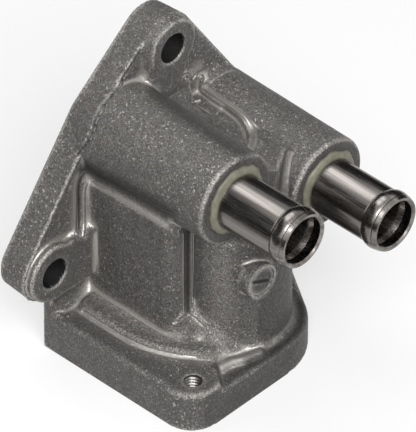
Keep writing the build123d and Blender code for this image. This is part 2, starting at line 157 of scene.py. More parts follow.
PAD_EDGE = [
    (-30.1, -0.2, 78.4), (-30.1, 0.0, 82.4), (-30.3, 1.6, 85.8), (-30.2, 4.5, 87.6), (-30.2, 8.1, 88.2),
]
LUG_FLANK = [
    (-31.4, 9.1, 88.1), (-31.4, 3.4, 87.1), (-31.4, -0.3, 82.7), (-31.4, -0.3, 76.9), (-31.4, 2.8, 72.9),
]

# Where the mould is worn round: path, radius, rounds of relaxing
SOFT_PLACES = (
    (ROOT_LINE, 4.0, 120),
    ([(-31.2, -27.4, 36.6)], 4.4, 120),
    ([(-31.4, -31.0, 15.6)], 5.0, 150),
    ([(-0.2, -17.4, 17.6)], 7.5, 500),
    ([(10.4, -17.4, 12.2)], 6.5, 500),
    (OLD_STEP, 4.2, 350),
    (FOOT_RIDGE, 4.5, 500),
    (LOW_STEP, 3.0, 200),
    (WEB_TOP, 3.5, 300),
    (HEEL_CREASE, 2.4, 80),
    (FLARE_TAIL, 3.2, 200),
    (LEDGE_ROOT, 3.0, 200),
    (POCKET_EDGE, 2.5, 150),
    (LUG_FLANK, 3.2, 120),
    ([(-32.2, 0.2, 74.0)], 5.0, 120),
    ([(-30.2, 8.0, 66.0)], 4.0, 30),
    ([(-26.9, 13.3, 59.2)], 4.5, 60),
)
# Lines raised or sunk in the skin: path, width, height, raggedness
CAST_LINES = (
    (ROOT_LIP, 1.4, 0.35, 0.0),
    (ROOT_JOINT, 0.8, -0.45, 0.0),
    (ROOT_INNER, 0.9, 0.25, 0.0),
    (UNDER_BOSS, 2.6, -0.9, 0.0),
    (TIER_FOOT, 1.5, 0.35, 0.0),
    (TIER_LIP, 0.7, -0.16, 0.0),
    (LOW_STEP, 1.8, 0.8, 0.0),
    (MOON, 0.6, 0.16, 0.3),
    (STRIP, 1.6, -0.6, 0.0),
    (POCKET_EDGE, 2.2, 0.55, 0.0),
    (POCKET_GROOVE, 1.3, -0.4, 0.0),
    (KNOB_SLOT, 0.6, -0.5, 0.0),
    (PARTING, 0.8, -0.3, 0.6),
    (STRIP_LIPS[0], 0.6, 0.2, 0.0),
    (STRIP_LIPS[1], 0.6, 0.2, 0.0),
    ([(-30.4, 4.6, 66.2), (-30.4, 10.4, 66.0)], 1.8, 0.4, 0.0),
    (RIGHT_FLASH, 1.5, 0.45, 0.8),
    ([(FLANGE_FRONT, -1.8, 75.0), (FLANGE_FRONT, -1.2, 75.6)], 1.6, -0.3, 0.0),
    ([(-28.0, 13.0, 59.4), (-27.0, 14.6, 59.4)], 0.9, -0.3, 0.0),
    ([(-31.6, -36.0, LEDGE_TOP), (-29.4, -34.4, LEDGE_TOP)], 1.2, 0.3, 1.0),
)
# Marks on the skin, many of them painted highlights and painted shade: what they are, path, width, strength
STROKES = (
    # Painted highlight along the lip of the wall, and painted shade under the upper boss
    ("satin", WALL_LIP, 1.6, 0.75),
    ("edge", WALL_LIP, 2.0, 0.5),
    ("grime", BOSS_SHADE, 3.4, 0.75),
    # Painted highlights beside the dark mould joint at the root of the wall
    ("satin", ROOT_LIP, 1.1, 0.9),
    ("grime", ROOT_JOINT, 0.7, 0.9),
    ("satin", ROOT_INNER, 0.6, 0.7),
    ("satin", [(-32.4, -23.3, 52.1), (-32.2, -23.3, 51.4)], 1.1, 1.0),
    ("satin", [(-32.2, -29.0, 36.7), (-31.8, -28.6, 36.6)], 0.9, 1.0),
    ("edge", [(-30.5, -27.4, 36.2), (-30.1, -26.6, 35.0)], 1.2, 1.0),
    # Painted highlights on the low step, the tier's end, the half-moon, the flange front, the top pad and
    # its flash
    ("satin", LOW_STEP, 2.0, 0.8),
    ("edge", [(9.0, -20.2, 13.6), (11.2, -18.9, 12.8), (12.6, -18.0, 11.6)], 1.5, 1.0),
    ("edge", MOON, 0.6, 0.8),
    ("satin", [(-2.5, -21.2, 18.2), (-2.2, -20.8, 18.6)], 0.8, 1.0),
    ("satin", [(FLANGE_FRONT, -1.9, 75.0), (FLANGE_FRONT, -1.3, 74.4)], 2.0, 1.0),
    ("edge", PAD_EDGE, 0.6, 1.0),
    ("satin", [(FLANGE_FRONT, 19.9, 65.8), (FLANGE_FRONT, 19.0, 65.4)], 1.8, 0.8),
    ("edge", RIGHT_FLASH, 1.5, 0.9),
    # The valley strip is darkened, and its lips get a painted highlight
    ("grime", STRIP, 1.7, 0.85),
    ("satin", STRIP_LIPS[0], 0.4, 1.0),
    ("satin", STRIP_LIPS[1], 0.4, 1.0),
    # Painted shade on the ledge, the low flange and its end, and in the knob's recess and slot, where the
    # light falls weakly
    ("grime", [(11.7, -20.2, 11.5), (14.6, -21.6, 10.6), (17.7, -23.8, 9.8)], 1.0, 0.6),
    ("grime", [(-30.0, -34.0, LEDGE_TOP), (0.0, -34.0, LEDGE_TOP), (12.0, -33.0, LEDGE_TOP)], 4.5, 0.28),
    ("grime", [(12.4, -30.0, LEDGE_TOP), (13.4, -30.0, LEDGE_TOP)], 7.0, 0.32),
    ("grime", [(16.6, -21.0, LOW_TOP), (17.6, -14.0, LOW_TOP)], 3.6, 0.45),
    ("grime", LOW_SHADE, 3.4, 0.7),
    ("grime", [(19.5, -22.0, 4.0), (19.5, -6.0, 4.0), (17.0, 8.0, 4.0)], 7.0, 0.45),
    ("grime", [(16.2, -7.2, 35.2), (16.4, -7.2, 35.2)], 4.6, 0.5),
    ("grime", KNOB_SLOT, 0.6, 1.0),
    ("grime", PARTING, 0.5, 0.8),
    # Painted shade on the side of the upper boss away from the light
    ("grime", BOSS_SIDE_SHADE, 3.4, 0.5),
    # Painted highlights over the ledge step, the tier's foot, the barrel and the knob's rim
    ("edge", STEP_SHEEN, 3.4, 0.45),
    ("edge", TIER_FOOT, 3.2, 0.4),
    ("edge", BARREL_SHEEN, 6.0, 0.3),
    ("satin", KNOB_RIM, 0.45, 1.0),
    # Painted shade at the end of the web and in the pocket's groove, and a painted highlight on the
    # pocket's edge
    ("grime", WEB_END, 2.0, 0.5),
    ("satin", POCKET_EDGE, 1.5, 1.0),
    ("grime", POCKET_GROOVE, 1.2, 0.4),
    ("edge", EAR_EDGE, 0.7, 0.9),
    # Painted shade on the barrel's right side under the pipes
    ("grime", [(13.7, 6.6, 38.0), (12.4, 9.0, 23.0), (11.8, 9.6, 13.0)], 8.0, 0.3),
)

# How the skin is worked; lengths are millimetres
WAVES = ((1.0, 0.24), (0.5, 0.8))  # share of the waviness, and its waves in a millimetre
FLAT_BAND = 0.4          # skin this near a machined face stays flat
SOFT_MARGIN = 1.0        # how far the skin that is relaxed sees past its radius
SOFT_SHARE = 0.7         # how much of the way to the mean each round takes a point
LEAST_FACING = 0.05      # a path marks the skin that turns more than this towards the sight
TEAR_SCALE = 0.9         # tears of a ragged line in a millimetre
TEAR_GAIN = 2.5
TEAR_MOST = 3.0
RIM_GAP = 8.0            # flash on the left of the rim starts this far beside the top hole
RIM_FOOT = 22.0          # height at which that flash ends
RIM_FLASH = (0.8, 0.16, 1.0)  # width, height, raggedness
PIT = ((-30.4, 12.7, 66.4), 0.9, -1.6)  # sunk place beside the top lug: centre, radius, height
THREAD_ROOM = 0.38       # how far the screw holes open for the thread's roots
THREAD_MOUTH = 0.8       # depth of the plain mouth above it
THREAD_BAND = 0.3        # skin this near the hole's wall opens

# How wear, dark joints, painted highlights and painted shade are laid on the skin; lengths are millimetres
BEND_ROUNDS = 4          # rounds that spread the bend to its neighbours
EDGE_WEAR = (0.14, 0.30, 0.85)  # least bend, span of bend, most wear
# smooth inner corners, satin and given a painted highlight: least bend, span of bend, most
FILLET_SATIN_AND_HIGHLIGHT = (0.05, 0.2, 0.7)
CUT_BAND = 0.12          # skin this near a machined face looks machined
HOLE_BAND = 0.25         # skin this near a hole's wall gets painted shade
BOLT_MOUTH = 0.4         # depth below the spot face where the painted shade in a bolt hole starts
TAP_MOUTH = 0.3          # depth below the ledge where the painted shade in a screw hole starts
# strength of the painted shade inside the screw holes
TAP_PAINTED_SHADE = 0.9
BOLT_RIM = 1.4           # width of a bolt hole's rim, which is rubbed less
BOLT_RIM_LOW = 2.0       # how far below the middle of the hole that rim reaches
BOLT_RIM_WEAR = 0.3      # share of its wear that it keeps
END_FACING = 0.92        # ends of the bosses and barrel turn more than this along the pipes
END_X = 8.0              # and lie in front of this place
# strength of the painted shade on those ends
END_PAINTED_SHADE = 0.35

# Tones of the casting, as shares of its colour; the bright and fillet tones also serve as painted
# highlights, the darkest tone as dark joint lines and painted shade
CAST_TONES = {
    "hollow": 0.42, "grain": 1.60, "patch": 0.5, "bright": 4.8, "fillet": 4.6, "grime": 0.06,
    "mill_hollow": 1.7, "mill_crest": 2.9,
}

# Thread of the screw holes, in turns of its pitch
THREAD_START = 0.6       # above the underside
THREAD_END = 1.1         # below the mouth
THREAD_FOOT = 0.46       # half the width of the thread's foot
THREAD_FLAT = 0.1        # share of it that is left at the crest

PIPE_SHARP = radians(28)  # edges of a pipe that turn more than this stay sharp
SEAL_SWELL = 0.2         # share of the unevenness by which the whole bead is fuller than its solid
SEAL_WAVES = ((1.0, 0.35), (0.3, 0.9))  # share of the unevenness, and its waves in a millimetre

# Studio round the target, in metres: name, way from the target, width, height
LAMPS = (
    ("overhead", (-0.45, 0.12, 0.72), 0.5, 0.9),
    ("front", (0.55, -0.38, 0.64), 0.6, 0.6),
    ("left", (-0.45, -0.72, 0.10), 0.4, 0.4),
)
CARDS = (
    ("flag_left", (-0.32, -0.33, 0.39), 0.9, 0.42),
    ("flag_right", (-0.32, 0.48, 0.16), 1.4, 0.75),
    ("flag_low", (-0.08, -0.22, -0.035), 0.5, 0.32),
)
CARD_GREY = 0.02
FLOOR_SIZE = 3.0         # half the floor's width
FLOOR_GREY = 0.9
FLOOR_GLOW = 0.6         # share of the floor that is white of its own
FLOOR_BOUNCE = 0.15      # how pale the floor is for the light that it throws back
FRAME_HEIGHT = 36.0      # height of the camera's sensor, in millimetres


# Settings that a user would change

class CastingSettings(bpy.types.PropertyGroup):
    """Skin of the aluminium casting."""
    voxel: bpy.props.FloatProperty(
        name="Skin mesh", description="Grid of the remeshed skin, which also rounds its edges",
        default=0.30 * MM, min=0.2 * MM, unit="LENGTH")
    triangles: bpy.props.IntProperty(
        name="Triangles", description="Most triangles left in the skin", default=195000)
    waviness: bpy.props.FloatProperty(
        name="Waviness", description="Height of the slow unevenness of the cast skin",
        default=0.05 * MM, unit="LENGTH")
    grain_depth: bpy.props.FloatProperty(
        name="Grain depth", description="Depth of the shot-blasted grain", default=0.26 * MM, unit="LENGTH")
    grain_size: bpy.props.FloatProperty(
        name="Grain size", description="Size of the shot-blasted grain", default=0.45 * MM, unit="LENGTH")
    colour: bpy.props.FloatVectorProperty(
        name="Colour", description="Colour of the cast aluminium", subtype="COLOR",
        default=(0.128, 0.122, 0.116))


class ThreadSettings(bpy.types.PropertyGroup):
    """Coarse thread of the screw holes."""
    pitch: bpy.props.FloatProperty(
        name="Pitch", description="Rise of one turn", default=1.0 * MM, unit="LENGTH")
    height: bpy.props.FloatProperty(
        name="Height", description="Height of the thread", default=0.5 * MM, unit="LENGTH")
    radius: bpy.props.FloatProperty(
        name="Radius", description="Radius at the thread's root", default=2.95 * MM, unit="LENGTH")
    segments: bpy.props.IntProperty(name="Segments", description="Steps in each turn", default=36)
    colour: bpy.props.FloatVectorProperty(
        name="Colour", description="Colour of freshly cut aluminium", subtype="COLOR",
        default=(0.23, 0.22, 0.21))


class PipeSettings(bpy.types.PropertyGroup):
    """Drawn steel hose pipes."""
    colour: bpy.props.FloatVectorProperty(
        name="Colour", description="Colour of the polished steel", subtype="COLOR",
        default=(0.28, 0.26, 0.245))
    roughness: bpy.props.FloatProperty(
        name="Roughness", description="Roughness of the polished steel", default=0.22, subtype="FACTOR")


class SealantSettings(bpy.types.PropertyGroup):
    """Bead of sealant at the root of each pipe."""
    colour: bpy.props.FloatVectorProperty(
        name="Colour", description="Colour of the cured sealant", subtype="COLOR",
        default=(0.190, 0.184, 0.136))
    unevenness: bpy.props.FloatProperty(
        name="Unevenness", description="How far the bead's edge wanders", default=0.6 * MM, unit="LENGTH")


class StageSettings(bpy.types.PropertyGroup):
    """Camera and light."""
    azimuth: bpy.props.FloatProperty(
        name="Azimuth", description="Turn of the camera round the part",
        default=radians(43.6), subtype="ANGLE")
    elevation: bpy.props.FloatProperty(
        name="Elevation", description="Height angle of the camera", default=radians(40.15), subtype="ANGLE")
    distance: bpy.props.FloatProperty(
        name="Distance", description="Distance from the camera to the part", default=2.43, unit="LENGTH")
    lens: bpy.props.FloatProperty(
        name="Lens", description="Focal length for a 36 mm frame height, in millimetres", default=759.4)
    target: bpy.props.FloatVectorProperty(
        name="Target", description="Point at the middle of the picture", unit="LENGTH",
        default=(-9.374 * MM, -0.837 * MM, 38.92 * MM))
    overhead: bpy.props.FloatProperty(
        name="Overhead light", description="Power of the light overhead", default=3.5, unit="POWER")
    front: bpy.props.FloatProperty(
        name="Front light", description="Power of the light before the pipes", default=10.6, unit="POWER")
    left: bpy.props.FloatProperty(
        name="Left light", description="Power of the low light on the left", default=1.6, unit="POWER")
    ambient: bpy.props.FloatProperty(
        name="Ambient", description="Strength of the room light", default=0.09)


# Small helpers

def new_object(name, data):
    """Object at the origin that carries a mesh, a lamp or a camera."""
    holder = bpy.data.objects.new(name, data)
    bpy.context.scene.collection.objects.link(holder)
    return holder


def new_piece(name, shape, material=None, smooth=False):
    """Object made of a bmesh, which is freed."""
    for face in shape.faces:
        face.smooth = smooth
    mesh = bpy.data.meshes.new(name + "_mesh")
    shape.to_mesh(mesh)
    shape.free()
    if material:
        mesh.materials.append(material)
    return new_object(name, mesh)


def welded_copy(node):
    """Bmesh copy of a node of the frame, with its loose triangles joined."""
    shape = bmesh.new()
    shape.from_mesh(frame["nodes"][node].data)
    bmesh.ops.remove_doubles(shape, verts=shape.verts, dist=WELD)
    return shape


def bake_modifiers(piece):
    """Mesh of the piece with its modifiers applied, put back on the piece."""
    bpy.context.view_layer.update()
    graph = bpy.context.evaluated_depsgraph_get()
    finished = bpy.data.meshes.new_from_object(piece.evaluated_get(graph))
    old = piece.data
    piece.modifiers.clear()
    piece.data = finished
    bpy.data.meshes.remove(old)


def finish_piece(piece, slot, *nodes):
    """Hang a finished piece on the part and hide the nodes it stands for; its material slot is not used."""
    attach(piece, "root")
    if nodes:
        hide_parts(*nodes)


def read_points(mesh):
    """Vertex places and normals of a mesh as arrays."""
    points = np.empty(len(mesh.vertices) * 3, np.float32)
    normals = np.empty(len(mesh.vertices) * 3, np.float32)
    mesh.vertices.foreach_get("co", points)
    mesh.vertices.foreach_get("normal", normals)
    return points.reshape(-1, 3).astype(float), normals.reshape(-1, 3).astype(float)


def read_edges(mesh):
    """First and second vertex of every edge of a mesh."""
    edges = np.empty(len(mesh.edges) * 2, np.int32)
    mesh.edges.foreach_get("vertices", edges)
    return edges.reshape(-1, 2).T


def neighbour_sum(values, one, two):
    """Sum, at each point, of the values at its neighbours along the edges from one to two."""
    size = len(values)
    return np.bincount(one, values[two], size) + np.bincount(two, values[one], size)


def distance_to_path(points, path):
    """Distance from each point to a path of straight runs."""
    nearest = np.full(len(points), np.inf)
    if len(path) == 1:
        nearest = np.linalg.norm(points - path[0], axis=1)
    for start, end in zip(path[:-1], path[1:]):
        run = end - start
        share = np.clip((points - start) @ run / (run @ run), 0.0, 1.0)
        nearest = np.minimum(nearest, np.linalg.norm(points - start - share[:, None] * run, axis=1))
    return nearest


def fade(distance, width):
    """Share that falls smoothly from one at no distance to nothing at a width."""
    share = np.clip(1.0 - distance / width, 0.0, 1.0)
    return share * share * (3.0 - 2.0 * share)


def curved(points, steps=6):
    """Smooth path through a few points."""
    guide = np.array([points[0], *points, points[-1]], float)
    path = []
    for before, start, end, after in zip(guide, guide[1:], guide[2:], guide[3:]):
        for share in np.arange(steps) / steps:
            pull = (2 * before - 5 * start + 4 * end - after) * share**2
            settle = (3 * start - before - 3 * end + after) * share**3
            path.append(0.5 * (2 * start + (end - before) * share + pull + settle))
    return path + [guide[-1]]


# Materials

class Surface:
    """A Principled material and short ways to wire nodes into it."""

    def __init__(self, name):
        self.material = bpy.data.materials.new(name)
        self.material.use_nodes = True
        self.nodes = self.material.node_tree.nodes
        self.links = self.material.node_tree.links
        self.shader = self.nodes["Principled BSDF"]
        self.place = self.nodes.new("ShaderNodeTexCoord").outputs["Object"]

    def feed(self, socket, value):
        """Link another socket into this one, or set it to a number, a vector or a colour."""
        if isinstance(value, bpy.types.NodeSocket):
            self.links.new(value, socket)
        else:
            socket.default_value = value

    def give(self, **inputs):
        """Feed inputs of the shader, named with _ for each space."""
        for name, value in inputs.items():
            self.feed(self.shader.inputs[name.replace("_", " ")], value)

    def node(self, kind, output, **inputs):
        """Output of a new node whose inputs are fed, named with _ for each space."""
        node = self.nodes.new(kind)
        for name, value in inputs.items():
            self.feed(node.inputs[name.replace("_", " ")], value)
        return node.outputs[output]

    def mapped(self, scale=(1.0, 1.0, 1.0), location=(0.0, 0.0, 0.0)):
        """Object coordinates, stretched and moved."""
        return self.node("ShaderNodeMapping", "Vector", Vector=self.place, Scale=scale, Location=location)

    def noise(self, vector, scale, detail=3.0, roughness=0.5):
        """Noise with a scale in turns per metre."""
        return self.node(
            "ShaderNodeTexNoise", "Fac", Vector=vector, Scale=scale, Detail=detail, Roughness=roughness)

    def ramp(self, value, low, high, out_low=0.0, out_high=1.0):
        """Value carried from one range to another, and held at its ends."""
        return self.node(
            "ShaderNodeMapRange", "Result",
            Value=value, From_Min=low, From_Max=high, To_Min=out_low, To_Max=out_high)

    def bump(self, height, distance):
        """Normal of a surface whose height is this value times a distance."""
        return self.node("ShaderNodeBump", "Normal", Height=height, Distance=distance)

    def attribute(self, name):
        """Mark that is stored on the mesh."""
        node = self.nodes.new("ShaderNodeAttribute")
        node.attribute_name = name
        return node.outputs["Fac"]

    def math(self, operation, first, second):
        """Two values joined by an operation."""
        node = self.nodes.new("ShaderNodeMath")
        node.operation = operation
        for socket, value in zip(node.inputs, (first, second)):
            self.feed(socket, value)
        return node.outputs["Value"]

    def times(self, first, second):
        """Product of two values."""
        return self.math("MULTIPLY", first, second)

    def mix(self, factor, first, second):
        """Colour between two colours."""
        node = self.nodes.new("ShaderNodeMix")
        node.data_type = "RGBA"
        for name, value in (("Factor", factor), ("A", first), ("B", second)):
            self.feed(node.inputs[name], value)
        return node.outputs["Result"]


def shade(colour, factor=1.0):
    """A colour made lighter or darker, for a socket."""
    return (*(factor * channel for channel in colour), 1.0)


def cast_aluminium(settings):
    """Shot-blasted cast aluminium: dark and grainy, bright on worn edges, satin in its fillets, with
    painted highlights along edges and fillets and painted shade in holes, creases and on faces away from
    the light.
    """
    s = Surface("cast_aluminium")
    size = settings.grain_size
    tones = {name: shade(settings.colour, factor) for name, factor in CAST_TONES.items()}
    grain = s.noise(s.place, 1.0 / size, detail=3.0, roughness=0.65)
    other = s.noise(s.mapped(location=(0.3, 0.1, 0.2)), 0.6 / size, detail=2.0, roughness=0.6)
    mottle = s.noise(s.place, 0.25 / size, detail=4.0, roughness=0.65)
    cloud = s.noise(s.place, 70.0, detail=3.0, roughness=0.6)
    lay = s.noise(s.mapped(scale=(1.0, 0.03, 1.0)), 2400.0, detail=3.0, roughness=0.7)

    # Painted shade, with the dark joint lines, stored on the mesh
    grime = s.attribute("grime")
    cut = s.attribute("machined")
    unshaded = s.math("SUBTRACT", 1.0, grime)
    # Satin fillets, whose bright fillet tone is a painted highlight
    satin = s.times(s.attribute("satin"), unshaded)
    rough_part = s.ramp(satin, 0.1, 0.8, 1.0, 0.0)
    # Worn edges, and painted highlights laid along edges
    worn_and_highlit = s.times(s.times(s.attribute("edge"), unshaded), s.ramp(grain, 0.36, 0.62, 0.05, 1.0))
    patch = s.times(s.ramp(mottle, 0.35, 0.6, 0.5, 0.0), rough_part)
    speck = s.times(s.ramp(other, 0.60, 0.69), s.ramp(cloud, 0.35, 0.6, 0.3, 1.0))
    speck = s.times(s.times(speck, unshaded), rough_part)

    tone = s.mix(s.ramp(grain, 0.34, 0.66), tones["hollow"], tones["grain"])
    tone = s.mix(patch, tone, tones["patch"])
    tone = s.mix(s.times(speck, 0.8), tone, tones["bright"])
    tone = s.mix(s.times(worn_and_highlit, 0.85), tone, tones["bright"])
    tone = s.mix(s.times(satin, 0.8), tone, tones["fillet"])
    # Painted shade and dark joint lines darken the tone
    tone = s.mix(s.times(grime, 0.98), tone, tones["grime"])
    milled = s.mix(s.ramp(lay, 0.3, 0.7), tones["mill_hollow"], tones["mill_crest"])
    s.give(Base_Color=s.mix(cut, tone, milled), Specular_IOR_Level=0.35)

    shine = s.math("MAXIMUM", s.times(speck, 0.6), s.math("MAXIMUM", worn_and_highlit, satin))
    shine = s.math("MAXIMUM", shine, s.times(cut, s.ramp(lay, 0.3, 0.7, 0.75, 1.0)))
    s.give(Metallic=s.ramp(shine, 0.0, 1.0, 0.3, 0.9), Roughness=s.ramp(shine, 0.0, 1.0, 0.50, 0.36))

    height = s.math("ADD", grain, s.times(mottle, 1.4))
    height = s.times(height, s.ramp(rough_part, 0.0, 1.0, 0.12, 1.0))
    height = s.times(height, s.ramp(cut, 0.0, 1.0, 1.0, 0.0))
    height = s.math("ADD", height, s.times(s.times(lay, cut), 0.12))
    s.give(Normal=s.bump(height, settings.grain_depth))
    return s.material


def cut_thread(settings):
    """Cut aluminium, brighter than the cast skin."""
    s = Surface("cut_thread")
    cloud = s.noise(s.place, 1500.0, detail=2.0)
    tone = s.mix(s.ramp(cloud, 0.35, 0.65), shade(settings.colour, 0.6), shade(settings.colour))
    s.give(Base_Color=tone, Metallic=0.8, Roughness=0.32, Normal=s.bump(cloud, 0.02 * MM))
    return s.material


def drawn_steel(settings):
    """Polished steel tube with fine lines drawn along its length."""
    s = Surface("drawn_steel")
    along = s.mapped(scale=(0.04, 1.0, 1.0))
    fine = s.noise(along, 2600.0, detail=3.0, roughness=0.7)
    broad = s.noise(along, 420.0, detail=3.0, roughness=0.6)
    tone = s.mix(s.ramp(broad, 0.35, 0.65), shade(settings.colour, 0.45), shade(settings.colour))
    dull = s.ramp(fine, 0.3, 0.7, settings.roughness * 0.7, settings.roughness * 1.5)
    lines = s.bump(s.math("ADD", fine, broad), 0.006 * MM)
    s.give(Base_Color=tone, Metallic=1.0, Roughness=dull, Normal=lines)
    return s.material


def cured_sealant(settings):
    """Yellowish sealant with a dull skin."""
    s = Surface("cured_sealant")
    cloud = s.noise(s.place, 500.0, detail=3.0)
    tone = s.mix(s.ramp(cloud, 0.35, 0.65), shade(settings.colour, 0.8), shade(settings.colour, 1.15))
    s.give(Base_Color=tone, Roughness=0.42, Normal=s.bump(cloud, 0.05 * MM))
    return s.material


# Pieces

def rim_path():
    """Outline drawn tight round the lugs at the front of the engine flange."""
    lug_r = (MOUNTS["bolt_hole_left"].y - HOUSING_LOW.y) / MM
    points = []
    for centre, radius in [(lug, lug_r) for lug in LUGS] + [(PIPE_AXES["upper"], HEEL_R)]:
        for step in range(RIM_STEPS):
            turn = 2 * pi * step / RIM_STEPS
            points.append(Vector((centre.y / MM + radius * cos(turn), centre.z / MM + radius * sin(turn))))
    outline = [points[index] for index in geometry.convex_hull_2d(points)]
    return [(FLANGE_FRONT, point.x, point.y) for point in outline + outline[:1]]


class Skin:
    """Points of the cast skin, worked on like clay. Lengths are millimetres."""

    def __init__(self, mesh):
        self.mesh = mesh
        self.points, self.normals = read_points(mesh)
        self.points /= MM
        self.edges = read_edges(mesh)

    def box_mask(self, path, width):
        """Which points lie in the box round a path, grown by a width."""
        low = np.min(np.array(path), axis=0) - width
        high = np.max(np.array(path), axis=0) + width
        return np.all((self.points >= low) & (self.points <= high), axis=1)

    def near(self, path, width):
        """Points that see a path beside them, and their share: one on it, nothing at its width."""
        facing = self.normals @ SIGHT > LEAST_FACING
        inside = np.flatnonzero(self.box_mask(path, max(width, SEEN_DEPTH)) & facing)
        share = fade(distance_to_path(self.points[inside] @ SEEN.T, np.array(path) @ SEEN.T), width)
        return inside[share > 0.0], share[share > 0.0]

    def ridge(self, path, width, height, ragged=0.0):
        """Raise, or with a negative height sink, a line along a path."""
        near, share = self.near(path, width)
        if ragged:
            tear = np.array([noise.noise(Vector(spot) * TEAR_SCALE) for spot in self.points[near]])
            share = share * np.clip(1.0 + ragged * tear * TEAR_GAIN, 0.0, TEAR_MOST)
        self.points[near] += self.normals[near] * (share * height)[:, None]

    def spot(self, centre, radius, height):
        """Raise or sink a small round place."""
        share = fade(np.linalg.norm(self.points - np.array(centre), axis=1), radius)
        self.points += self.normals * (share * height)[:, None]

    def waves(self, height, scale, keep):
        """Slow unevenness over every place that isn't kept true."""
        wave = np.array([noise.noise(Vector(point) * scale) for point in self.points])
        wave[keep] = 0.0
        self.points += self.normals * (wave * height)[:, None]

    def soften(self, path, radius, rounds):
        """Relax the skin near a path towards the mean of its neighbours, as a worn mould does."""
        near = np.flatnonzero(self.box_mask(path, radius + SOFT_MARGIN))
        local = np.full(len(self.points), -1)
        local[near] = np.arange(len(near))
        one, two = local[self.edges[0]], local[self.edges[1]]
        both = (one >= 0) & (two >= 0)
        one, two = one[both], two[both]
        count = np.maximum(neighbour_sum(np.ones(len(near)), one, two), 1)[:, None]
        spots = self.points[near]
        share = SOFT_SHARE * fade(distance_to_path(spots, np.array(path)), radius)[:, None]
        for _ in range(rounds):
            total = np.stack([neighbour_sum(spots[:, axis], one, two) for axis in range(3)], axis=1)
            spots += share * (total / count - spots)
        self.points[near] = spots

    def put_back(self):
        """Give the points back to the mesh."""
        self.mesh.vertices.foreach_set("co", (self.points * MM).astype(np.float32).ravel())
        self.mesh.update()

    def renew_normals(self):
        """Take the normals again after the skin has moved."""
        self.put_back()
        self.normals = read_points(self.mesh)[1]


def bend_of(mesh):
    """How strongly the skin bends at each point, in turns per millimetre, outward bends positive."""
    points, normals = read_points(mesh)
    one, two = read_edges(mesh)
    size = len(points)
    run = points[two] - points[one]
    turn = np.einsum("ij,ij->i", normals[two] - normals[one], run) / np.einsum("ij,ij->i", run, run) * MM
    count = neighbour_sum(np.ones(size), one, two)
    bend = (np.bincount(one, turn, size) + np.bincount(two, turn, size)) / count
    for _ in range(BEND_ROUNDS):
        bend = 0.5 * bend + 0.5 * neighbour_sum(bend, one, two) / count
    return bend


def wear_and_highlight_share(bend, least, span, most):
    """Share that grows with the bend, from a least bend over a span of it: wear on outward bends, a painted
    highlight in fillets.
    """
    return np.clip((bend - least) / span, 0.0, most)


def paint(mesh, name, values):
    """Store a value for each point of a mesh, for its material to read."""
    layer = mesh.attributes.new(name, "FLOAT", "POINT")
    layer.data.foreach_set("value", np.clip(values, 0.0, 1.0).astype(np.float32))


